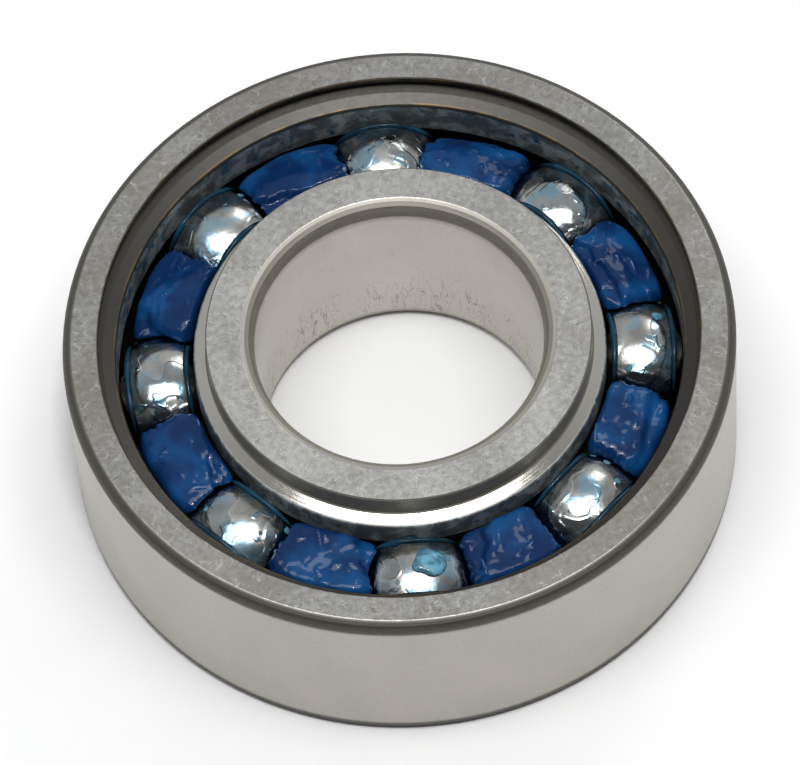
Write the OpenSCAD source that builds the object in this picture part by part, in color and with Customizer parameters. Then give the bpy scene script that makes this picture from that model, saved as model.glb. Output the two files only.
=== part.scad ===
// Deep groove ball bearing, opened on its front face and packed with grease.
// The axis is +Z, the origin is the centre of the bore at mid width,
// and the open face looks along +Z. Dimensions are in millimetres.

/* [Rings] */
// Outside diameter of the outer ring
outer_diameter = 35; // [34.6:0.1:38]
// Bore diameter of the inner ring
bore_diameter = 15; // [13:0.1:15.2]
// Width of both rings
ring_width = 11; // [10.8:0.1:13]
// Radial size of the rounded corners of the outer ring
outer_corner = 0.5; // [0.3:0.05:0.8]
// Axial size of the rounded corners of the outer ring
outer_corner_height = 0.65; // [0.3:0.05:1]
// Radial size of the rounded corners of the bore
bore_corner = 0.75; // [0.3:0.05:0.9]
// Axial size of the rounded corners of the bore
bore_corner_height = 1.1; // [0.4:0.05:1.5]

/* [Seal recess] */
// Diameter of the outer ring at the mouth of the recess
mouth_diameter = 31.28; // [31:0.02:31.5]
// Diameter at the bottom of the seal groove
groove_diameter = 31.96; // [31.8:0.02:32.2]
// Depth below the face of the sloping seat in the outer ring, at its outer edge
outer_seat_depth = 1; // [0.96:0.01:1.04]
// How much deeper that seat is at its inner edge
outer_seat_drop = 0.32; // [0.2:0.02:0.36]
// Diameter of the step on the inner ring
step_diameter = 20.1; // [20:0.02:20.2]
// Depth below the face of the sloping seat on the inner ring, at the step
inner_seat_depth = 1.3; // [1.2:0.01:1.34]
// How much deeper that seat is at its outer edge
inner_seat_drop = 0.22; // [0.1:0.02:0.3]

/* [Shoulders and raceways] */
// Shoulder diameter of the outer ring
outer_land_diameter = 29.54; // [29.2:0.02:29.8]
// Shoulder diameter of the inner ring
inner_land_diameter = 21.5; // [21.3:0.02:21.7]
// Raceway groove radius divided by ball diameter
conformity = 0.52; // [0.515:0.001:0.53]

/* [Balls] */
// Ball diameter
ball_diameter = 5.953; // [5.8:0.001:5.953]
// Diameter of the circle through the ball centres
pitch_diameter = 25; // [24.95:0.01:25.05]
// Gap between each ball and the bottom of a raceway
ball_clearance = 0.01; // [0.005:0.001:0.02]

/* [Cage] */
// Inner diameter of the pressed ribbon
cage_inner_diameter = 22.7; // [22.5:0.1:23]
// Outer diameter of the pressed ribbon
cage_outer_diameter = 28.2; // [27.8:0.1:28.4]
// Thickness of the sheet
sheet = 0.4; // [0.3:0.02:0.45]
// Gap between each ball and its pocket
pocket_clearance = 0.12; // [0.08:0.01:0.15]
// Diameter of the rivet shank
rivet_diameter = 0.9; // [0.7:0.05:1]
// Diameter of the rivet head
rivet_head_diameter = 1.6; // [1.3:0.05:1.7]
// Height of the rivet head
rivet_head_height = 0.35; // [0.25:0.05:0.45]

/* [Grease] */
// Height of the grease above the middle plane, beside the outer ring
grease_level = 3; // [2.4:0.05:3.2]
// How much higher the grease stands beside the inner ring
grease_rise = 0.7; // [0:0.05:0.8]
// Inner diameter of the grease lumps
grease_inner_diameter = 22; // [21.9:0.05:22.4]
// Outer diameter of the grease lumps
grease_outer_diameter = 28.8; // [28.2:0.05:28.9]
// Half of the angle covered by one lump, in degrees
grease_half_angle = 16; // [13:0.5:18]

/* [Rear seal] */
// Gap between the seal lip and the inner ring
lip_clearance = 0.03; // [0.02:0.005:0.05]
// Thickness of the steel washer in the seal
insert_thickness = 0.3; // [0.2:0.05:0.35]

/* [Hidden] */
$fn = 96;
ball_count = 8;
ball_step = 360 / ball_count;
half_width = ring_width / 2;
outer_r = outer_diameter / 2;
bore_r = bore_diameter / 2;
mouth_r = mouth_diameter / 2;
groove_r = groove_diameter / 2;
step_r = step_diameter / 2;
outer_land_r = outer_land_diameter / 2;
inner_land_r = inner_land_diameter / 2;
groove_lip_z = half_width - 0.35;
groove_high_z = groove_lip_z - 0.20;
outer_seat_z = half_width - outer_seat_depth;
groove_low_z = outer_seat_z + 0.15;
outer_seat_low_z = outer_seat_z - outer_seat_drop;
inner_seat_z = half_width - inner_seat_depth;
inner_seat_low_z = inner_seat_z - inner_seat_drop;
pitch_r = pitch_diameter / 2;
ball_r = ball_diameter / 2;
race_r = conformity * ball_diameter;
outer_race_centre = pitch_r + ball_r + ball_clearance - race_r;
inner_race_centre = pitch_r - ball_r - ball_clearance + race_r;
pocket_r = ball_r + pocket_clearance;
dome_r = pocket_r + sheet;
cage_inner_r = cage_inner_diameter / 2;
cage_outer_r = cage_outer_diameter / 2;
cage_mid_r = (cage_inner_r + cage_outer_r) / 2;
rivet_r = rivet_diameter / 2;
head_r = rivet_head_diameter / 2;
head_sphere_r = (head_r * head_r + rivet_head_height * rivet_head_height) / (2 * rivet_head_height);
grease_inner_r = grease_inner_diameter / 2;
grease_outer_r = grease_outer_diameter / 2;
grease_gap = 0.06;
rivet_gap = 0.01;
seal_inside = -outer_seat_z - 0.08;
seal_web = seal_inside - insert_thickness;
seal_outside = seal_web - 0.34;
bead_gap = 0.05;
insert_inner_r = inner_land_r + 0.25;
insert_outer_r = mouth_r - 0.55;
web_inner_r = insert_inner_r - 0.15;
lip_r = step_r + lip_clearance;
lip_round = 0.12;
lip_top = -inner_seat_z - 0.14;
lip_foot = seal_outside + 0.16;
corner_steps = 5;
land_corner = 0.13;
edge_break = 0.07;

steel = [0.66, 0.64, 0.61];
ground_steel = [0.72, 0.71, 0.69];
bright_steel = [0.80, 0.81, 0.82];
cage_steel = [0.55, 0.57, 0.58];
grease_blue = [0.09, 0.22, 0.47];
rubber_black = [0.06, 0.06, 0.06];

// Quarter ellipse from a wall to a face. The wall is at radius x and the face at
// height z; dx is positive when the material is on the inner side of the wall.
function corner(x, z, dx, dz) = [
    for (i = [0 : corner_steps])
        let (a = 90 * i / corner_steps)
        [x - dx * (1 - cos(a)), z - dz * (1 - sin(a))]
];

// The same quarter ellipse, walked from the face to the wall
function corner_down(x, z, dx, dz) = [
    for (i = [0 : corner_steps])
        let (a = 90 * (corner_steps - i) / corner_steps)
        [x - dx * (1 - cos(a)), z - dz * (1 - sin(a))]
];

// A half section followed by its mirror image below the middle plane
function both_sides(points) = concat(
    points,
    [for (i = [len(points) - 1 : -1 : 0]) [points[i][0], -points[i][1]]]
);

// Closed ring between two radii and two heights, its seams midway between balls
module annulus(inner, outer, low, high) {
    rotate(ball_step / 2)
        difference() {
            translate([0, 0, low])
                cylinder(r = outer, h = high - low);
            translate([0, 0, low - 1])
                cylinder(r = inner, h = high - low + 2);
        }
}

// Torus that cuts a raceway
module raceway(centre) {
    rotate_extrude()
        translate([centre, 0])
            circle(r = race_r);
}

// Copies its child at every ball position
module at_balls() {
    for (i = [0 : ball_count - 1])
        rotate(i * ball_step)
            translate([pitch_r, 0, 0])
                children();
}

// Copies its child at every rivet position
module at_rivets() {
    for (i = [0 : ball_count - 1])
        rotate((i + 0.5) * ball_step)
            translate([cage_mid_r, 0, 0])
                children();
}

module outer_ring() {
    half_section = concat(
        corner(outer_r, half_width, outer_corner, outer_corner_height),
        [
            [mouth_r + edge_break, half_width],
            [mouth_r, half_width - edge_break],
            [mouth_r, groove_lip_z],
            [groove_r, groove_high_z],
            [groove_r, groove_low_z],
            [mouth_r, outer_seat_z],
            [outer_land_r + edge_break, outer_seat_low_z],
            [outer_land_r, outer_seat_low_z - edge_break]
        ]
    );
    color(ground_steel)
        difference() {
            rotate_extrude()
                polygon(both_sides(half_section));
            raceway(outer_race_centre);
        }
}

module inner_ring() {
    half_section = concat(
        corner(bore_r, half_width, -bore_corner, bore_corner_height),
        [
            [step_r - edge_break, half_width],
            [step_r, half_width - edge_break],
            [step_r, inner_seat_z + edge_break],
            [step_r + edge_break, inner_seat_z]
        ],
        corner_down(inner_land_r, inner_seat_low_z, land_corner, land_corner)
    );
    color(ground_steel)
        difference() {
            rotate_extrude()
                polygon(both_sides(half_section));
            raceway(inner_race_centre);
        }
}

module ball(index) {
    color(bright_steel)
        rotate((index - 1) * ball_step)
            translate([pitch_r, 0, 0])
                sphere(r = ball_r);
}

// Sphere whose poles lie on the radial line, clear of the ribbon
module radial_sphere(radius) {
    rotate([0, 90, 0])
        sphere(r = radius);
}

// One pressed ribbon with its flats on the middle plane and its domes upwards
module cage_half() {
    color(cage_steel)
        difference() {
            union() {
                annulus(cage_inner_r, cage_outer_r, 0, sheet);
                intersection() {
                    annulus(cage_inner_r, cage_outer_r, 0, dome_r + 1);
                    at_balls()
                        radial_sphere(dome_r);
                }
            }
            at_balls()
                radial_sphere(pocket_r);
            at_rivets()
                translate([0, 0, -sheet])
                    cylinder(r = rivet_r + rivet_gap, h = 3 * sheet);
        }
}

module cage_front() {
    cage_half();
}

module cage_rear() {
    mirror([0, 0, 1])
        cage_half();
}

// Shallow domed head standing on the plane z = 0
module rivet_head(extra) {
    intersection() {
        translate([0, 0, rivet_head_height - head_sphere_r])
            sphere(r = head_sphere_r + extra);
        cylinder(r = head_r + extra, h = rivet_head_height + 1);
    }
}

module rivet(index) {
    color(bright_steel)
        rotate((index - 0.5) * ball_step)
            translate([cage_mid_r, 0, 0])
                union() {
                    translate([0, 0, -sheet])
                        cylinder(r = rivet_r, h = 2 * sheet);
                    translate([0, 0, sheet])
                        rivet_head(0);
                    mirror([0, 0, 1])
                        translate([0, 0, sheet])
                            rivet_head(0);
                }
}

// Flat sector of the given half angle, centred on +X
module sector(half_angle, size) {
    polygon([
        [0, 0],
        [size * cos(half_angle), -size * sin(half_angle)],
        [size * 1.1, 0],
        [size * cos(half_angle), size * sin(half_angle)]
    ]);
}

// Ring of grease on the ribbon, its top rising towards the inner ring
module grease_ring() {
    rotate(ball_step / 2)
        rotate_extrude()
            polygon([
                [grease_inner_r, sheet],
                [grease_outer_r, sheet],
                [grease_outer_r, grease_level],
                [grease_inner_r, grease_level + grease_rise]
            ]);
}

// One lump of grease standing on the flat between two domes
module grease_lump(index) {
    color(grease_blue)
        rotate((index - 0.5) * ball_step)
            difference() {
                intersection() {
                    grease_ring();
                    linear_extrude(height = half_width)
                        sector(grease_half_angle, outer_r);
                }
                for (side = [-0.5, 0.5])
                    rotate(side * ball_step)
                        translate([pitch_r, 0, 0])
                            sphere(r = dome_r + grease_gap);
                translate([cage_mid_r, 0, sheet])
                    rivet_head(grease_gap);
            }
}

module grease_front(index) {
    grease_lump(index);
}

module grease_rear(index) {
    mirror([0, 0, 1])
        grease_lump(index);
}

module rear_seal_insert() {
    color(steel)
        annulus(insert_inner_r, insert_outer_r, seal_web, seal_inside);
}

// Bead in the groove of the outer ring, a web with a pocket for the washer,
// and a thinner lip beside the inner ring
module rear_seal_rubber() {
    color(rubber_black)
        difference() {
            rotate_extrude()
                polygon([
                    [lip_r, lip_foot + lip_round],
                    [lip_r + lip_round, lip_foot],
                    [web_inner_r, lip_foot],
                    [insert_inner_r + 0.30, seal_outside],
                    [mouth_r - 0.30, seal_outside],
                    [mouth_r - bead_gap, -groove_lip_z],
                    [groove_r - bead_gap, -groove_high_z + 0.02],
                    [groove_r - bead_gap, -groove_low_z - 0.03],
                    [mouth_r - bead_gap, seal_inside],
                    [web_inner_r, seal_inside],
                    [web_inner_r, lip_top],
                    [lip_r + lip_round, lip_top],
                    [lip_r, lip_top - lip_round]
                ]);
            annulus(insert_inner_r, insert_outer_r, seal_web, seal_inside + 1);
        }
}

outer_ring();
inner_ring();
ball(1);  // ball_1
ball(2);  // ball_2
ball(3);  // ball_3
ball(4);  // ball_4
ball(5);  // ball_5
ball(6);  // ball_6
ball(7);  // ball_7
ball(8);  // ball_8
cage_front();
cage_rear();
rivet(1);  // rivet_1
rivet(2);  // rivet_2
rivet(3);  // rivet_3
rivet(4);  // rivet_4
rivet(5);  // rivet_5
rivet(6);  // rivet_6
rivet(7);  // rivet_7
rivet(8);  // rivet_8
grease_front(1);  // grease_front_1
grease_front(2);  // grease_front_2
grease_front(3);  // grease_front_3
grease_front(4);  // grease_front_4
grease_front(5);  // grease_front_5
grease_front(6);  // grease_front_6
grease_front(7);  // grease_front_7
grease_front(8);  // grease_front_8
grease_rear(1);  // grease_rear_1
grease_rear(2);  // grease_rear_2
grease_rear(3);  // grease_rear_3
grease_rear(4);  // grease_rear_4
grease_rear(5);  // grease_rear_5
grease_rear(6);  // grease_rear_6
grease_rear(7);  // grease_rear_7
grease_rear(8);  // grease_rear_8
rear_seal_rubber();
rear_seal_insert();
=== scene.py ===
import math
import random

import bpy
import numpy as np
from mathutils import Matrix, Vector, noise


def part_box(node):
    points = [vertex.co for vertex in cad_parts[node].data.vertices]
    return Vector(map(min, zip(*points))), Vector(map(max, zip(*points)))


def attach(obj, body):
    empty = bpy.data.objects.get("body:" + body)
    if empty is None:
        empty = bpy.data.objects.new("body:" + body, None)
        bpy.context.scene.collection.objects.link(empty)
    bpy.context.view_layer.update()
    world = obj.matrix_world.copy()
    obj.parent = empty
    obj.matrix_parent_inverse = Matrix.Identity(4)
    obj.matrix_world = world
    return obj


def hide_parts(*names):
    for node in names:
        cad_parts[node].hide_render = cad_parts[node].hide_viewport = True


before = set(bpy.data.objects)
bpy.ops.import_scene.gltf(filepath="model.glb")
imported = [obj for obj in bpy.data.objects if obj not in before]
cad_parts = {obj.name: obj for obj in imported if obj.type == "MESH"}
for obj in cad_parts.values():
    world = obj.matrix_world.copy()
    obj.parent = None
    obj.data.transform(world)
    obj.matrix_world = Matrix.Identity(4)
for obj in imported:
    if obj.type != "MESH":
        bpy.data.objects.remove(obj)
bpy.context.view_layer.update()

# ---------------------------------------------------------------- sizes
# Everything is in metres; MM turns millimetres into them.
MM = 0.001
BALL_COUNT = 8
BALL_STEP = math.tau / BALL_COUNT
ball_lo, ball_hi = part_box("ball_1")
PITCH_R = (ball_lo.x + ball_hi.x) / 2
cage_lo, cage_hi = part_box("cage_front")
DOME_R = cage_hi.z
CAGE_OUTER_R = cage_hi.x
CAGE_INNER_R = 11.35 * MM
HALF_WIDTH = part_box("outer_ring")[1].z
GREASE_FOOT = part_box("grease_front_1")[0].z

# Radii and heights inside materials are in millimetres.
OUTSIDE_R = 17.5
BORE_R = 7.5
CORNER_START_R = 17.0
FACE_HEIGHT = (5.40, 5.47)
WALL_END = (4.55, 4.90)
LAND_TOP = (3.9, 4.1)
SEAT_HEIGHT = (3.9, 4.54)
FACE_EDGE_R = (15.60, 15.74)
SEAT_EDGE_R = (14.80, 14.90)


# ---------------------------------------------------------------- node trees
class Graph:
    """Builds the node tree of one material. Lengths inside it are millimetres."""

    def __init__(self, name):
        self.material = bpy.data.materials.new(name)
        self.material.use_nodes = True
        self.tree = self.material.node_tree
        self.tree.nodes.clear()
        self.shader = self.add("ShaderNodeBsdfPrincipled")
        output = self.add("ShaderNodeOutputMaterial")
        self.tree.links.new(self.shader.outputs["BSDF"], output.inputs["Surface"])
        coords = self.add("ShaderNodeTexCoord").outputs["Object"]
        self.place = self.vector("SCALE", coords, scale=1 / MM)
        split = self.add("ShaderNodeSeparateXYZ")
        self.tree.links.new(self.place, split.inputs[0])
        self.x, self.y, self.z = split.outputs
        flat = self.add("ShaderNodeCombineXYZ")
        self.tree.links.new(self.x, flat.inputs[0])
        self.tree.links.new(self.y, flat.inputs[1])
        self.radius = self.vector("LENGTH", flat.outputs[0])
        self.height = self.math("ABSOLUTE", self.z)

    def add(self, kind, **settings):
        node = self.tree.nodes.new(kind)
        for key, value in settings.items():
            setattr(node, key, value)
        return node

    def put(self, socket, value):
        if isinstance(value, bpy.types.NodeSocket):
            self.tree.links.new(value, socket)
        else:
            socket.default_value = value

    def vector(self, operation, a, b=None, scale=None):
        node = self.add("ShaderNodeVectorMath", operation=operation)
        self.put(node.inputs[0], a)
        if b is not None:
            self.put(node.inputs[1], b)
        if scale is not None:
            self.put(node.inputs["Scale"], scale)
        return node.outputs["Value" if operation in ("LENGTH", "DOT_PRODUCT") else "Vector"]

    def math(self, operation, a, b=None, clamp=False):
        node = self.add("ShaderNodeMath", operation=operation, use_clamp=clamp)
        self.put(node.inputs[0], a)
        if b is not None:
            self.put(node.inputs[1], b)
        return node.outputs[0]

    def fade(self, value, start, end, low=0.0, high=1.0):
        """Goes smoothly from low, where value is start, to high, where it is end."""
        node = self.add("ShaderNodeMapRange", interpolation_type="SMOOTHSTEP")
        for socket, number in zip(node.inputs, (value, start, end, low, high)):
            self.put(socket, number)
        return node.outputs[0]

    def band(self, value, low, high, soft):
        """1 where value lies between low and high, with soft edges."""
        up = self.fade(value, low - soft, low + soft)
        down = self.fade(value, high - soft, high + soft, 1.0, 0.0)
        return self.math("MULTIPLY", up, down)

    def mix(self, amount, a, b):
        node = self.add("ShaderNodeMix", data_type="RGBA")
        self.put(node.inputs[0], amount)
        self.put(node.inputs[6], a)
        self.put(node.inputs[7], b)
        return node.outputs[2]

    def blend(self, amount, a, b):
        node = self.add("ShaderNodeMix", data_type="FLOAT")
        self.put(node.inputs[0], amount)
        self.put(node.inputs[2], a)
        self.put(node.inputs[3], b)
        return node.outputs[0]

    def noise(self, size, detail=3.0, roughness=0.5, distortion=0.0, place=None, offset=0.0):
        """Noise with features about size millimetres across."""
        node = self.add("ShaderNodeTexNoise")
        spot = self.place if place is None else place
        if offset:
            spot = self.vector("ADD", spot, (offset, offset * 0.7, -offset))
        self.put(node.inputs["Vector"], spot)
        self.put(node.inputs["Scale"], 1 / size)
        self.put(node.inputs["Detail"], detail)
        self.put(node.inputs["Roughness"], roughness)
        self.put(node.inputs["Distortion"], distortion)
        return node.outputs["Fac"]

    def strokes(self, size, width, distortion=1.0, place=None, offset=0.0):
        """Thin winding lines: where noise passes its middle."""
        field = self.noise(size, 1.0, 0.4, distortion, place, offset)
        away = self.math("ABSOLUTE", self.math("SUBTRACT", field, 0.5))
        return self.fade(away, 0.0, width, 1.0, 0.0)

    def polar(self, stretch=1.0):
        """Arc length round the axis, radius, and z times stretch."""
        angle = self.math("ARCTAN2", self.y, self.x)
        node = self.add("ShaderNodeCombineXYZ")
        self.put(node.inputs[0], self.math("MULTIPLY", angle, PITCH_R / MM))
        self.put(node.inputs[1], self.radius)
        self.put(node.inputs[2], self.math("MULTIPLY", self.z, stretch))
        return node.outputs[0]

    def product(self, *values):
        total = values[0]
        for value in values[1:]:
            total = self.math("MULTIPLY", total, value)
        return total

    def weigh(self, *terms):
        """Sum of value times weight over the pairs in terms."""
        total = None
        for value, weight in terms:
            part = self.math("MULTIPLY", value, weight)
            total = part if total is None else self.math("ADD", total, part)
        return total

    def bump(self, height, depth):
        """Turns height, 0 to 1, into a bump depth millimetres deep."""
        node = self.add("ShaderNodeBump")
        self.put(node.inputs["Strength"], 1.0)
        self.put(node.inputs["Distance"], depth * MM)
        self.put(node.inputs["Height"], height)
        self.tree.links.new(node.outputs["Normal"], self.shader.inputs["Normal"])

    def set(self, **values):
        for key, value in values.items():
            self.put(self.shader.inputs[key.replace("_", " ")], value)


def rgb(red, green, blue):
    return (red, green, blue, 1.0)


# ---------------------------------------------------------------- materials
STEEL_DARK = rgb(0.10, 0.095, 0.085)
TURNED = rgb(0.15, 0.142, 0.125)
OILY = rgb(0.15, 0.17, 0.175)


def tinted(tone, colour):
    return rgb(*(tone * channel for channel in colour[:3]))


def ring_steel(name, face, inside, seat, wall, tones, seat_rough, scratched, aged):
    """Bearing steel: ground faces and cylinder, turned and darker elsewhere, oily inside.
    face, inside and seat are radius ranges in millimetres. wall is the radius of the
    ring's ground cylinder, the outside or the bore. tones says how light the face, the
    cylinder, the seat and the turned surfaces are. scratched is how strong the scratches
    of the cylinder are, and aged how strong the brown wear of the face is."""
    face_tone, wall_tone, seat_tone, turned_tone = tones
    g = Graph(name)
    light = rgb(0.62, 0.59, 0.535)
    face_light, face_mid = rgb(0.71, 0.70, 0.67), rgb(0.49, 0.475, 0.44)
    on_face = g.product(g.band(g.radius, *face, 0.05), g.fade(g.height, *FACE_HEIGHT))
    at_wall = g.band(g.radius, wall - 0.03, wall + 0.03, 0.02)
    on_wall = g.product(at_wall, g.fade(g.height, *WALL_END, 1.0, 0.0))
    within = g.product(g.band(g.radius, *inside, 0.03), g.fade(g.height, *LAND_TOP, 1.0, 0.0))
    on_seat = g.product(g.band(g.radius, *seat, 0.03), g.band(g.height, *SEAT_HEIGHT, 0.04))

    mottle = g.noise(0.34, 4.0, 0.66, 0.3)
    cloud = g.noise(4.0, 2.0, 0.5)
    grain = g.noise(0.12, 2.0, 0.6)
    patches = g.fade(g.noise(0.7, 2.0, 0.5, 0.0, None, 7.0), 0.40, 0.66)
    marks = g.product(g.strokes(0.36, 0.06, 1.6, None, 2.0), patches)
    tone = g.fade(g.weigh((mottle, 0.6), (cloud, 0.4)), 0.34, 0.66)
    ground = g.mix(tone, tinted(face_tone, face_mid), tinted(face_tone, face_light))
    worn = g.fade(g.noise(5.0, 2.0, 0.5, 0.0, None, 70.0), 0.40, 0.60)
    ground = g.mix(g.product(worn, aged), ground, tinted(face_tone, rgb(0.47, 0.43, 0.36)))
    radial_place = g.vector("MULTIPLY", g.polar(1.0), (1.0, 0.45, 1.0))
    nicks = g.product(g.strokes(0.5, 0.03, 0.8, radial_place, 33.0), patches)
    ground = g.mix(g.product(nicks, 0.30), ground, rgb(0.80, 0.80, 0.79))
    ground = g.mix(g.product(marks, 0.34), ground, tinted(face_tone, STEEL_DARK))

    long_place = g.polar(0.35)
    scored = g.fade(g.noise(2.2, 2.0, 0.5, 0.0, long_place, 12.0), 0.37, 0.53)
    scratches = g.strokes(0.7, 0.035, 1.5, long_place, 3.0)
    scratches = g.product(scratches, scored, g.fade(g.z, 0.0, -3.0))
    speck = g.fade(g.noise(0.15, 1.0, 0.5, 0.0, None, 20.0), 0.62, 0.70)
    clouding = g.fade(cloud, 0.2, 0.8)
    cylinder = g.mix(clouding, tinted(wall_tone * 0.92, light), tinted(wall_tone, light))
    cylinder = g.mix(g.product(speck, 0.15), cylinder, STEEL_DARK)
    cylinder = g.mix(g.product(scratches, scratched), cylinder, STEEL_DARK)

    round_place = g.vector("MULTIPLY", g.polar(1.0), (0.02, 1.0, 1.0))
    turning = g.noise(0.10, 2.0, 0.5, 0.0, round_place)
    colour = g.mix(turning, tinted(0.8 * turned_tone, TURNED), tinted(1.2 * turned_tone, TURNED))
    on_corner = g.fade(g.radius, CORNER_START_R - 0.05, CORNER_START_R + 0.05)
    colour = g.mix(on_corner, colour, tinted(0.75, TURNED))
    colour = g.mix(on_face, colour, ground)
    colour = g.mix(on_wall, colour, cylinder)
    colour = g.mix(on_seat, colour, tinted(seat_tone, light))
    # Painted highlight: a dotted gold-brown line on the face's inner edge and on the seat's edge
    # stands in for the glint these edges catch.
    dotted_glint = g.fade(g.noise(1.8, 3.0, 0.6, 0.0, None, 25.0), 0.44, 0.58)
    face_rim = g.product(g.band(g.radius, *FACE_EDGE_R, 0.04), g.fade(g.height, 5.2, 5.3))
    edges = g.math("MAXIMUM", face_rim, g.band(g.radius, *SEAT_EDGE_R, 0.03))
    colour = g.mix(g.product(edges, dotted_glint, 0.6), colour, rgb(0.16, 0.105, 0.045))
    film = g.noise(0.9, 3.0, 0.6, 0.4)
    wet = g.mix(g.fade(film, 0.42, 0.62), tinted(1.0, OILY), tinted(2.4, OILY))
    teal = g.fade(g.noise(0.7, 2.0, 0.5, 0.3, None, 15.0), 0.60, 0.68)
    wet = g.mix(teal, wet, rgb(0.03, 0.13, 0.19))
    colour = g.mix(within, colour, wet)

    rough = g.blend(on_face, 0.58, 0.38)
    rough = g.blend(on_wall, rough, 0.38)
    rough = g.blend(on_seat, rough, seat_rough)
    rough = g.blend(within, rough, g.blend(film, 0.30, 0.62))
    uneven = g.math("MULTIPLY", g.math("SUBTRACT", mottle, 0.5), 0.14)
    rough = g.math("ADD", rough, uneven, clamp=True)
    lathe_lines = g.product(turning, g.blend(on_face, 0.4, 0.0), g.blend(on_wall, 1.0, 0.2))
    relief = g.weigh(
        (mottle, g.blend(on_face, 0.12, 1.0)),
        (g.product(marks, on_face), -0.22),
        (grain, 0.12),
        (lathe_lines, 1.0),
    )
    g.bump(relief, 0.012)
    g.set(Base_Color=colour, Metallic=g.blend(within, 1.0, 0.55), Roughness=rough)
    return g.material


def dome_distance(g):
    """How far along the pitch circle the nearest ball's middle is, in millimetres."""
    turns = g.math("DIVIDE", g.math("ARCTAN2", g.y, g.x), BALL_STEP)
    part = g.math("SUBTRACT", turns, g.math("ROUND", turns))
    return g.math("MULTIPLY", g.math("ABSOLUTE", part), BALL_STEP * PITCH_R / MM)


def cage_steel(name):
    """Pressed ribbon, polished by wear, with patches of blue oil film on its domes, near black on
    the domes' flanks, and darkened lower down as painted shade.
    """
    g = Graph(name)
    field = g.noise(2.2, 1.0, 0.4, 0.4, None, 4.0)
    smear = g.fade(field, 0.52, 0.56)
    rim = g.band(field, 0.516, 0.528, 0.005)
    second = g.noise(1.1, 1.0, 0.5, 0.5, None, 9.0)
    spots = g.fade(second, 0.62, 0.66)
    fine = g.noise(0.10, 2.0, 0.6)
    # Distance round from the nearest dome's middle, with noise added; beyond about 2.35 mm the
    # dome's flanks are made near black, edged by a paler line.
    flank_distance = g.weigh((dome_distance(g), 1.0), (g.noise(1.0, 2.0, 0.5, 0.3, None, 30.0), 1.1))
    skirt = g.fade(flank_distance, 2.35, 2.75)
    skirt_line = g.band(flank_distance, 2.33, 2.42, 0.03)
    wear = g.fade(g.noise(1.6, 3.0, 0.55), 0.35, 0.65)
    base = g.mix(wear, rgb(0.29, 0.29, 0.275), rgb(0.50, 0.50, 0.475))
    pale_patches = g.fade(g.noise(1.5, 2.0, 0.5, 0.6, None, 50.0), 0.50, 0.62)
    colour = g.mix(g.product(smear, 0.40), base, rgb(0.22, 0.28, 0.31))
    colour = g.mix(g.product(spots, 0.6), colour, rgb(0.10, 0.27, 0.38))
    colour = g.mix(g.product(rim, 0.5), colour, rgb(0.66, 0.70, 0.70))
    colour = g.mix(g.product(pale_patches, 0.6), colour, rgb(0.20, 0.41, 0.56))
    colour = g.mix(g.product(skirt, 0.80), colour, rgb(0.035, 0.055, 0.075))
    colour = g.mix(g.product(skirt_line, 0.35), colour, rgb(0.60, 0.66, 0.66))
    # Painted shade: the ribbon is darkened nearly to black lower down, between the rings.
    painted_shade_low = g.fade(g.height, 1.8, 0.6)
    colour = g.mix(g.product(painted_shade_low, 0.85), colour, rgb(0.04, 0.055, 0.07))
    dents = g.noise(0.8, 2.0)
    g.bump(g.weigh((smear, 0.6), (spots, 0.5), (skirt, 1.0), (fine, 0.06), (dents, 0.9)), 0.034)
    g.set(
        Base_Color=colour,
        Metallic=1.0,
        Roughness=g.blend(smear, 0.24, 0.15),
        Coat_Weight=0.6,
        Coat_Roughness=0.06,
    )
    return g.material


def ball_steel(name):
    """Lapped chrome steel under a film of oil."""
    g = Graph(name)
    film = g.noise(1.8, 3.0, 0.5, 0.4)
    colour = g.mix(g.fade(film, 0.35, 0.65), rgb(0.30, 0.30, 0.30), rgb(0.52, 0.50, 0.47))
    g.bump(g.noise(0.6, 2.0), 0.004)
    g.set(Base_Color=colour, Metallic=1.0, Roughness=g.blend(film, 0.05, 0.16))
    return g.material


def rivet_steel(name):
    """Cold-headed rivet wire, dulled by grease."""
    g = Graph(name)
    wear = g.noise(0.35, 3.0, 0.6)
    colour = g.mix(wear, rgb(0.22, 0.22, 0.22), rgb(0.50, 0.48, 0.44))
    g.bump(wear, 0.02)
    g.set(Base_Color=colour, Metallic=1.0, Roughness=g.blend(wear, 0.25, 0.45))
    return g.material


def insert_steel(name):
    """Cold-rolled sheet with fine rolling lines."""
    g = Graph(name)
    lines = g.noise(0.25, 2.0, 0.5, 0.0, g.vector("MULTIPLY", g.place, (1.0, 0.05, 1.0)))
    colour = g.mix(lines, rgb(0.42, 0.42, 0.41), rgb(0.60, 0.59, 0.56))
    g.bump(lines, 0.006)
    g.set(Base_Color=colour, Metallic=1.0, Roughness=g.blend(lines, 0.28, 0.42))
    return g.material


def seal_rubber(name):
    """Moulded black nitrile: matt, faintly dusty, with the mould's turning lines."""
    g = Graph(name)
    dust = g.noise(2.4, 4.0, 0.6)
    round_place = g.vector("MULTIPLY", g.polar(0.0), (0.02, 1.0, 1.0))
    mould_lines = g.noise(0.22, 2.0, 0.5, 0.0, round_place)
    pores = g.noise(0.09, 2.0, 0.6)
    colour = g.mix(g.fade(dust, 0.35, 0.75), rgb(0.010, 0.010, 0.011), rgb(0.034, 0.034, 0.035))
    g.bump(g.weigh((mould_lines, 0.7), (pores, 0.3)), 0.012)
    g.set(Base_Color=colour, Roughness=g.blend(dust, 0.42, 0.66), Specular_IOR_Level=0.45)
    return g.material


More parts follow.
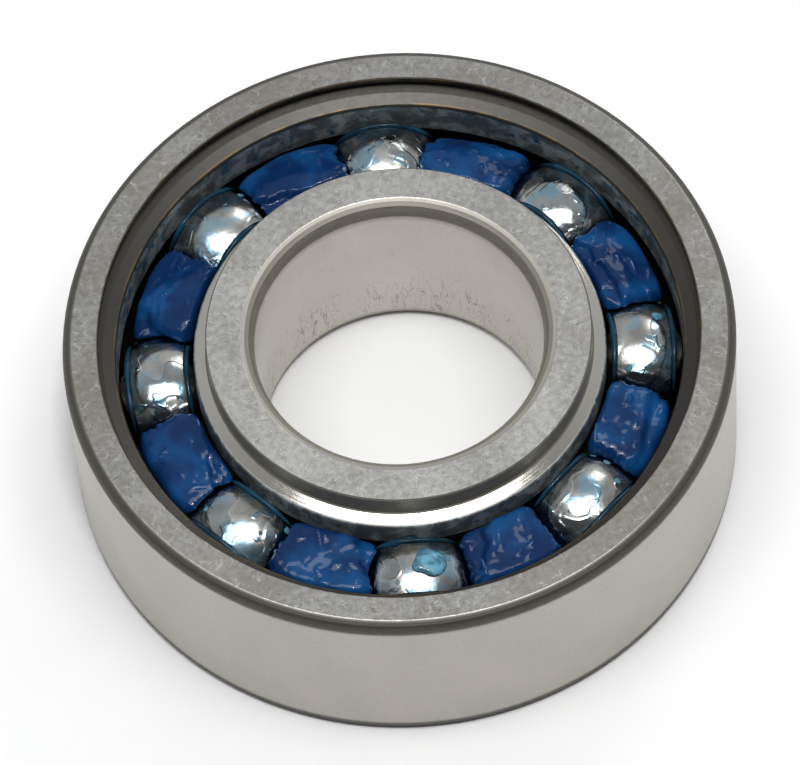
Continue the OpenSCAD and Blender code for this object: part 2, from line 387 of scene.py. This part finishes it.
def grease_gel(name, deep, body, pale, glow, depth):
    """Blue bearing grease: a glossy gel. Where the crest attribute is set it is painted paler:
    on the wads that is a painted highlight on ridges and beads, on the drops their paler colour.
    Lower down it is darker, a painted shade; depth is the range of heights over which it darkens,
    in millimetres."""
    g = Graph(name)
    crest = g.add("ShaderNodeAttribute", attribute_name="crest").outputs["Fac"]
    cloud = g.noise(2.6, 2.0, 0.5, 0.3)
    fleck = g.noise(0.35, 3.0, 0.6)
    colour = g.mix(g.fade(cloud, 0.40, 0.62), body, glow)
    # Painted shade: darker towards deep lower down, over the heights given in depth.
    colour = g.mix(g.fade(g.height, depth[1], depth[0]), colour, deep)
    # Painted highlight: on the wads the crest attribute paints ridges and beads paler; on the
    # drops it is their paler colour.
    pale_patches = g.fade(g.noise(0.6, 2.0, 0.5, 0.8, None, 60.0), 0.35, 0.65, 0.25, 0.75)
    colour = g.mix(g.product(g.fade(crest, 0.25, 1.0), pale_patches), colour, pale)
    g.bump(g.weigh((fleck, 0.12), (g.noise(1.1, 1.0), 0.88)), 0.028)
    g.set(
        Base_Color=colour,
        Roughness=g.blend(fleck, 0.18, 0.32),
        Specular_IOR_Level=0.08,
        Coat_Weight=0.24,
        Coat_Roughness=0.03,
        Subsurface_Weight=0.2,
        Subsurface_Scale=0.4 * MM,
        Subsurface_Radius=(0.25, 0.5, 1.0),
    )
    return g.material


outer_steel = ring_steel(
    "outer_ring_ground_steel",
    face=(15.66, 17.05),
    inside=(8.0, 14.84),
    seat=(14.84, 15.44),
    wall=OUTSIDE_R,
    tones=(0.54, 0.72, 0.10, 0.36),
    seat_rough=0.45,
    scratched=0.06,
    aged=0.5,
)
inner_steel = ring_steel(
    "inner_ring_ground_steel",
    face=(8.20, 10.02),
    inside=(10.66, 13.0),
    seat=(10.10, 10.66),
    wall=BORE_R,
    tones=(0.70, 0.84, 0.85, 2.5),
    seat_rough=0.15,
    scratched=0.56,
    aged=0.0,
)
looks = {
    "outer_ring": outer_steel,
    "inner_ring": inner_steel,
    "ball_": ball_steel("lapped_ball_steel"),
    "cage_": cage_steel("oiled_cage_steel"),
    "rivet_": rivet_steel("headed_rivet_steel"),
    "rear_seal_rubber": seal_rubber("moulded_nitrile"),
    "rear_seal_insert": insert_steel("rolled_insert_steel"),
}
for node_name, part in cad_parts.items():
    for prefix, material in looks.items():
        if node_name.startswith(prefix):
            for holder in part.material_slots:
                holder.material = material

blue_gel = grease_gel(
    "blue_grease_gel",
    deep=rgb(0.002, 0.010, 0.035),
    body=rgb(0.0025, 0.020, 0.080),
    pale=rgb(0.16, 0.24, 0.42),
    glow=rgb(0.004, 0.054, 0.175),
    depth=(1.4, 2.7),
)
thin_gel = grease_gel(
    "thin_grease_film",
    deep=rgb(0.002, 0.008, 0.015),
    body=rgb(0.005, 0.022, 0.036),
    pale=rgb(0.16, 0.42, 0.56),
    glow=rgb(0.008, 0.045, 0.080),
    depth=(2.0, 2.8),
)


# ---------------------------------------------------------------- grease
# Sizes of the wads: plain numbers are millimetres, the others are metres.
WAD_INNER_R = 10.90
WAD_OUTER_R = 14.38
WAD_HALF_LENGTH = 2.7
TOP_AT_OUTER_EDGE = 3.02
TOP_RISE_INWARD = 0.85
RIM_HEIGHT = 1.15 * MM
FOOT_GAP = 0.02 * MM
PRESS_INTO_DOME = 0.03 * MM
CORNER_POWER = 6.0
SIDE_POWER = 14
SIDE_ROUNDING = 1 / 2.2
TINY = 1e-9
RIDGE_WIDTH = 0.060
RIDGE_HEIGHT = 0.12
FACET_SOFTNESS = 0.045
TEAR_STEEPNESS = 34


def dome_half_angle(radius, z):
    """Half the angle that a cage dome takes up at that radius and height."""
    section = np.sqrt(np.maximum(DOME_R**2 - z**2, 1e-12))
    cosine = (radius**2 + PITCH_R**2 - section**2) / (2 * radius * PITCH_R)
    return np.arccos(np.clip(cosine, -1.0, 1.0))


def dome_height(radius, angle):
    """Height of the nearest dome's sphere over a point angle away from its middle."""
    away = radius**2 + PITCH_R**2 - 2 * radius * PITCH_R * np.cos(angle)
    return np.sqrt(np.maximum(DOME_R**2 - away, 0.0))


def segment_distance(px, py, ax, ay, bx, by):
    """Distance from points to a segment, and how far along it they are, 0 to 1."""
    length2 = max((bx - ax) ** 2 + (by - ay) ** 2, 1e-12)
    along = np.clip(((px - ax) * (bx - ax) + (py - ay) * (by - ay)) / length2, 0, 1)
    return np.hypot(px - ax - along * (bx - ax), py - ay - along * (by - ay)), along


def smooth_noise(x, y, size, seed):
    """Gradient noise in arrays, -1 to 1, with features about size across."""
    out = np.empty(x.shape)
    flat = out.ravel()
    for k, (a, b) in enumerate(zip(x.ravel(), y.ravel())):
        flat[k] = noise.noise(Vector((a / size + seed, b / size - seed, 0.5 * seed)))
    return out


def torn_top(u, v, arc, across, rng, seed):
    """Height of a wad's top above the ribbon's middle, and how pale each spot is painted: a
    painted highlight on its ridges and beads.
    A few tilted facets meet in creases; a slab is torn off one side; ridges and beads
    stand on it. arc and across are millimetres along and across the wad."""
    inward = (1 - v) / 2
    top = TOP_AT_OUTER_EDGE + TOP_RISE_INWARD * inward**1.7
    facets = []
    for _ in range(5):
        heading = rng.uniform(0, math.tau)
        slope = rng.uniform(0.18, 0.60)
        tilt = slope * (np.cos(heading) * u + np.sin(heading) * v)
        facets.append(tilt + rng.uniform(0.02, 0.16))
    lowest = -FACET_SOFTNESS * np.log(sum(np.exp(-f / FACET_SOFTNESS) for f in facets))
    top = top + np.minimum(lowest, 0.15) * 0.75
    top = top + 0.10 * smooth_noise(arc, across, 1.5, seed + 3)
    pits = smooth_noise(arc, across, 0.55, seed + 5)
    top = top + 0.045 * np.abs(pits)
    turn = rng.uniform(0, math.tau)
    away = np.cos(turn) * u + np.sin(turn) * v - rng.uniform(0.45, 0.75)
    away = away + 0.12 * smooth_noise(arc, across, 0.9, seed + 7)
    top = top - rng.uniform(0.25, 0.5) / (1 + np.exp(-away * TEAR_STEEPNESS))
    # crest is both the ridges' height and a painted highlight: the grease material paints ridges
    # and beads paler.
    crest = np.zeros(u.shape)
    for _ in range(rng.randint(3, 5)):
        ax, ay = rng.uniform(-2.2, 2.2), rng.uniform(-1.5, 1.5)
        heading, length = rng.uniform(0, math.pi), rng.uniform(0.3, 1.3)
        bend = 0.25 * smooth_noise(arc, across, 0.9, seed + 11)
        bx, by = ax + length * math.cos(heading), ay + length * math.sin(heading)
        gap, along = segment_distance(arc + bend, across, ax, ay, bx, by)
        swell = np.sin(np.pi * np.clip(along, 0.06, 0.94)) ** 0.5
        crest = np.maximum(crest, np.exp(-((gap / RIDGE_WIDTH) ** 2)) * swell)
    top = top + RIDGE_HEIGHT * crest
    for _ in range(rng.randint(9, 15)):
        cx, cy, size = rng.uniform(-2.3, 2.3), rng.uniform(-1.5, 1.5), rng.uniform(0.05, 0.12)
        heading, pull = rng.uniform(0, math.pi), rng.uniform(0.4, 1.0)
        du, dv = arc - cx, across - cy
        long_way = (du * math.cos(heading) + dv * math.sin(heading)) * pull
        short_way = dv * math.cos(heading) - du * math.sin(heading)
        dot = np.exp(-(long_way**2 + short_way**2) / size**2)
        top = top + size * 0.9 * dot
        crest = np.maximum(crest, 0.5 * dot)
    return top, crest


def make_wad(name, index, side, rows, columns, reach, rng):
    """One wad of grease between two cage domes: a top and a bottom sheet that share a rim.
    reach is how far it goes each way from its middle, in degrees."""
    middle = (index - 0.5) * BALL_STEP
    seed = rng.uniform(0, 50)
    span = np.sin(np.linspace(-1, 1, rows) * math.pi / 2)
    breadth = np.sin(np.linspace(-1, 1, columns) * math.pi / 2)
    u, v = np.meshgrid(span, breadth, indexing="ij")
    edge = np.maximum(np.abs(u), np.abs(v))
    norm = (np.abs(u) ** CORNER_POWER + np.abs(v) ** CORNER_POWER) ** (1 / CORNER_POWER)
    shrink = np.where(norm > TINY, edge / np.maximum(norm, TINY), 1.0)
    u, v = u * shrink, v * shrink
    flat = np.zeros(u.shape)
    inner = (WAD_INNER_R + 0.04 * smooth_noise(u, flat, 0.6, seed)) * MM
    outer = (WAD_OUTER_R + 0.12 * smooth_noise(u, flat, 0.5, seed + 9)) * MM
    radius = (inner + outer) / 2 + v * (outer - inner) / 2
    across = (radius - PITCH_R) / MM
    top, crest = torn_top(u, v, u * WAD_HALF_LENGTH, across, rng, seed)
    body = (1 - edge**SIDE_POWER) ** SIDE_ROUNDING
    z_top = RIM_HEIGHT + (top * MM - RIM_HEIGHT) * body
    z_low = RIM_HEIGHT + (GREASE_FOOT + FOOT_GAP - RIM_HEIGHT) * body
    narrowing = 1 - 0.06 * (v + 1) / 2
    wander = 1 + 0.10 * smooth_noise(across, np.sign(u), 0.9, seed + 2)
    wander = wander + 0.08 * smooth_noise(across, np.sign(u), 0.3, seed + 4)
    free = np.radians(np.where(u < 0, reach[0], reach[1])) * narrowing * wander
    points, crests = [], []
    for z, paleness in ((z_top, crest), (z_low, flat)):
        room = BALL_STEP / 2 - dome_half_angle(radius, z) + PRESS_INTO_DOME / radius
        angle = middle + u * np.minimum(free, room)
        points.append(np.stack([radius * np.cos(angle), radius * np.sin(angle), side * z], -1))
        crests.append(paleness)
    return weld_sheets(name, points, crests, rows, columns, side)


def weld_sheets(name, points, crests, rows, columns, side):
    """Joins the two sheets along their common rim into one closed mesh."""
    count = rows * columns
    top_index = np.arange(count).reshape(rows, columns)
    low_index = top_index + count
    for line in (np.s_[0, :], np.s_[-1, :], np.s_[:, 0], np.s_[:, -1]):
        low_index[line] = top_index[line]
    faces = []
    for table, flip in ((top_index, side > 0), (low_index, side < 0)):
        for i in range(rows - 1):
            for j in range(columns - 1):
                quad = (table[i, j], table[i + 1, j], table[i + 1, j + 1], table[i, j + 1])
                faces.append(quad[::-1] if flip else quad)
    coords = np.concatenate([p.reshape(-1, 3) for p in points])
    paleness = np.concatenate([c.ravel() for c in crests])
    used, renumbered = np.unique(np.array(faces), return_inverse=True)
    quads = renumbered.reshape(-1, 4).tolist()
    return add_piece(name, coords[used].tolist(), quads, paleness[used])


def add_piece(name, coords, faces, paleness):
    """Makes a smooth mesh object; paleness is stored per vertex for the grease materials."""
    mesh = bpy.data.meshes.new(name)
    mesh.from_pydata(coords, [], faces)
    layer = mesh.attributes.new("crest", "FLOAT", "POINT")
    layer.data.foreach_set("value", np.asarray(paleness, np.float32))
    mesh.polygons.foreach_set("use_smooth", [True] * len(mesh.polygons))
    mesh.update()
    piece = bpy.data.objects.new(name, mesh)
    bpy.context.scene.collection.objects.link(piece)
    return piece


class Tubes:
    """Collects closed tubes and drops for one mesh object."""

    def __init__(self):
        self.coords, self.faces, self.paleness = [], [], []

    def add(self, rings, first, last, pale):
        """rings is a list of equal rings of points; first and last close the ends."""
        start = len(self.coords)
        sides = len(rings[0])
        for ring in rings:
            self.coords.extend(ring)
        self.coords.extend([first, last])
        self.paleness.extend([pale] * (sides * len(rings) + 2))
        for i in range(len(rings) - 1):
            for j in range(sides):
                a, b = start + i * sides + j, start + i * sides + (j + 1) % sides
                self.faces.append((a, a + sides, b + sides, b))
        tip_a, tip_b = start + sides * len(rings), start + sides * len(rings) + 1
        final = start + sides * (len(rings) - 1)
        for j in range(sides):
            k = (j + 1) % sides
            self.faces.append((start + j, start + k, tip_a))
            self.faces.append((final + k, final + j, tip_b))

    def piece(self, name):
        return add_piece(name, [tuple(c) for c in self.coords], self.faces, self.paleness)


COLLAR_REACH = math.radians(11.0)
COLLAR_DROP = 0.06 * MM
COLLAR_WIDTH = 0.19 * MM
COLLAR_HEIGHT = 0.24 * MM


def make_collars(name, edge_radius, centre_radius, rng):
    """Beads of thin grease that hang on the cut edges of the domes, one per dome."""
    tubes = Tubes()
    steps, sides = 40, 12
    for ball in range(BALL_COUNT):
        seed = rng.uniform(0, 50)
        rings = []
        for i in range(steps + 1):
            t = 2 * i / steps - 1
            away = COLLAR_REACH * t
            rise = float(dome_height(edge_radius, away)) - COLLAR_DROP
            swell = 0.75 + 0.35 * noise.noise(Vector((t * 3.0 + seed, seed, 0.0)))
            taper = max(1 - abs(t) ** 8, 0.05)
            ring = []
            for j in range(sides):
                a = math.tau * j / sides
                radius = centre_radius + COLLAR_WIDTH * swell * taper * math.cos(a)
                z = rise + COLLAR_HEIGHT * swell * taper * math.sin(a)
                angle = ball * BALL_STEP + away
                ring.append((radius * math.cos(angle), radius * math.sin(angle), z))
            rings.append(ring)
        ends = [np.mean(rings[0], axis=0), np.mean(rings[-1], axis=0)]
        tubes.add(rings, ends[0], ends[1], 0.0)
    return tubes.piece(name)


DROP_FLATNESS = 0.26


def add_drop(drops, ball, arc, across, size, pale, rng):
    """A flattened drop on a dome, arc and across millimetres from its middle."""
    centre = Vector((arc, across, math.sqrt((DOME_R / MM) ** 2 - arc**2 - across**2)))
    normal = centre.normalized()
    side = normal.orthogonal().normalized()
    other = normal.cross(side)
    sides, levels = 20, 7
    seed = rng.uniform(0, 50)
    thick = DROP_FLATNESS * size
    rings = []
    for i in range(levels):
        lift = math.pi * (i + 0.5) / levels - math.pi / 2
        ring = []
        for j in range(sides):
            a = math.tau * j / sides
            spin = Vector((0.7 * math.cos(a) + seed, 0.7 * math.sin(a), seed))
            lobe = 1 + 0.55 * noise.noise(spin)
            out = size * lobe * math.cos(lift)
            spot = centre + (side * math.cos(a) + other * math.sin(a)) * out
            ring.append(place_on_ball(spot + normal * (thick * math.sin(lift)), ball))
        rings.append(ring)
    low = place_on_ball(centre - normal * thick, ball)
    high = place_on_ball(centre + normal * thick, ball)
    drops.add([ring[::-1] for ring in rings][::-1], high, low, pale)


def place_on_ball(spot, ball):
    """From millimetres round one ball (along, outward, up) to the row frame."""
    turn = ball * BALL_STEP
    outward = Vector((math.cos(turn), math.sin(turn), 0))
    along = Vector((-math.sin(turn), math.cos(turn), 0))
    level = outward * (PITCH_R + spot.y * MM) + along * (spot.x * MM)
    return tuple(level + Vector((0, 0, spot.z * MM)))


# How far the wad in each gap reaches towards its two domes, in degrees.
REACH = (
    (13.8, 12.2),
    (11.8, 14.5),
    (13.0, 13.5),
    (13.5, 13.0),
    (12.0, 15.0),
    (12.0, 14.0),
    (11.8, 11.0),
    (12.6, 11.0),
)
for side, side_name, rows, columns in ((1, "front", 76, 54), (-1, "rear", 26, 18)):
    for index in range(1, BALL_COUNT + 1):
        rng = random.Random(40 * side + index)
        wad_name = f"grease_wad_{side_name}_{index}"
        wad = make_wad(wad_name, index, side, rows, columns, REACH[index - 1], rng)
        wad.data.materials.append(blue_gel)
        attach(wad, "cage")
        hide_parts(f"grease_{side_name}_{index}")

INNER_COLLAR_R = 11.17 * MM
OUTER_COLLAR_R = 14.27 * MM
rng = random.Random(5)
film_pieces = [
    make_collars("grease_collars_inner", CAGE_INNER_R, INNER_COLLAR_R, rng),
    make_collars("grease_collars_outer", CAGE_OUTER_R, OUTER_COLLAR_R, rng),
]
drops = Tubes()
for ball in range(BALL_COUNT):
    for _ in range(rng.randint(1, 3)):
        arc, across = rng.choice((-1, 1)) * rng.uniform(1.3, 2.3), rng.uniform(-1.2, 1.5)
        add_drop(drops, ball, arc, across, rng.uniform(0.10, 0.20), rng.uniform(0.5, 1.0), rng)
add_drop(drops, 6, 0.50, 0.15, 0.82, 1.0, rng)
add_drop(drops, 0, 1.15, 1.0, 0.28, 1.0, rng)
film_pieces.append(drops.piece("grease_drops"))
for piece in film_pieces:
    piece.data.materials.append(thin_gel)
    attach(piece, "cage")


# ---------------------------------------------------------------- floor, light, camera
def floor_material():
    g = Graph("pale_table")
    grain = g.noise(6.0, 3.0)
    colour = g.mix(grain, rgb(0.80, 0.80, 0.80), rgb(0.84, 0.84, 0.835))
    g.set(Base_Color=colour, Roughness=0.6)
    return g.material


bpy.ops.mesh.primitive_plane_add(size=4.0, location=(0, 0, -HALF_WIDTH))
table_top = bpy.context.object
table_top.name = "table_top"
table_top.data.materials.append(floor_material())


def soft_box(name, azimuth, elevation, distance, width, depth, power):
    """A rectangular lamp aimed at the origin. Azimuth 0 is the camera's side, 90 its right."""
    a, e = math.radians(azimuth), math.radians(elevation)
    spot = Vector((math.sin(a) * math.cos(e), -math.cos(a) * math.cos(e), math.sin(e))) * distance
    lamp = bpy.data.lights.new(name, "AREA")
    lamp.shape = "RECTANGLE"
    lamp.size, lamp.size_y = width, depth
    lamp.energy = power
    holder = bpy.data.objects.new(name, lamp)
    holder.location = spot
    holder.rotation_mode = "QUATERNION"
    holder.rotation_quaternion = (-spot).to_track_quat("-Z", "Y")
    bpy.context.scene.collection.objects.link(holder)


soft_box("overhead_soft_box", 0, 82, 0.5, 0.46, 0.22, 1.85)
soft_box("overhead_lamp", 12, 76, 0.5, 0.05, 0.04, 0.60)
soft_box("rear_window", 152, 34, 0.6, 0.16, 0.20, 0.35)


def studio_world():
    """Pale behind the object and dark on the camera's side."""
    world = bpy.data.worlds.new("studio")
    bpy.context.scene.world = world
    world.use_nodes = True
    tree = world.node_tree
    tree.nodes.clear()
    coords = tree.nodes.new("ShaderNodeTexCoord")
    split = tree.nodes.new("ShaderNodeSeparateXYZ")
    tree.links.new(coords.outputs["Generated"], split.inputs[0])
    ramp = tree.nodes.new("ShaderNodeMapRange")
    ramp.interpolation_type = "SMOOTHSTEP"
    for socket, number in zip(list(ramp.inputs)[1:5], (-0.55, 0.45, 0.10, 0.62)):
        socket.default_value = number
    tree.links.new(split.outputs[1], ramp.inputs[0])
    background = tree.nodes.new("ShaderNodeBackground")
    background.inputs["Color"].default_value = (0.96, 0.98, 1.0, 1.0)
    tree.links.new(ramp.outputs[0], background.inputs["Strength"])
    output = tree.nodes.new("ShaderNodeOutputWorld")
    tree.links.new(background.outputs[0], output.inputs["Surface"])


studio_world()

CAMERA_ELEVATION = math.radians(59.46)
CAMERA_ROLL = math.radians(-4.43)
CAMERA_DISTANCE = 0.38535
LOOK_AT = Vector((-0.123, 0.204, 0.0)) * MM
towards_eye = Vector((0.0, -math.cos(CAMERA_ELEVATION), math.sin(CAMERA_ELEVATION)))
level = Vector((1.0, 0.0, 0.0))
rise = level.cross(-towards_eye)
right = level * math.cos(CAMERA_ROLL) + rise * math.sin(CAMERA_ROLL)
up = rise * math.cos(CAMERA_ROLL) - level * math.sin(CAMERA_ROLL)
camera = bpy.data.objects.new("camera", bpy.data.cameras.new("camera"))
camera.data.sensor_width = 36.0
camera.data.lens = 330.4
camera.data.clip_start, camera.data.clip_end = 0.01, 10.0
turned = Matrix((right, up, towards_eye)).transposed().to_4x4()
camera.matrix_world = Matrix.Translation(LOOK_AT + towards_eye * CAMERA_DISTANCE) @ turned
bpy.context.scene.collection.objects.link(camera)
bpy.context.scene.camera = camera
bpy.context.scene.view_settings.view_transform = "Standard"
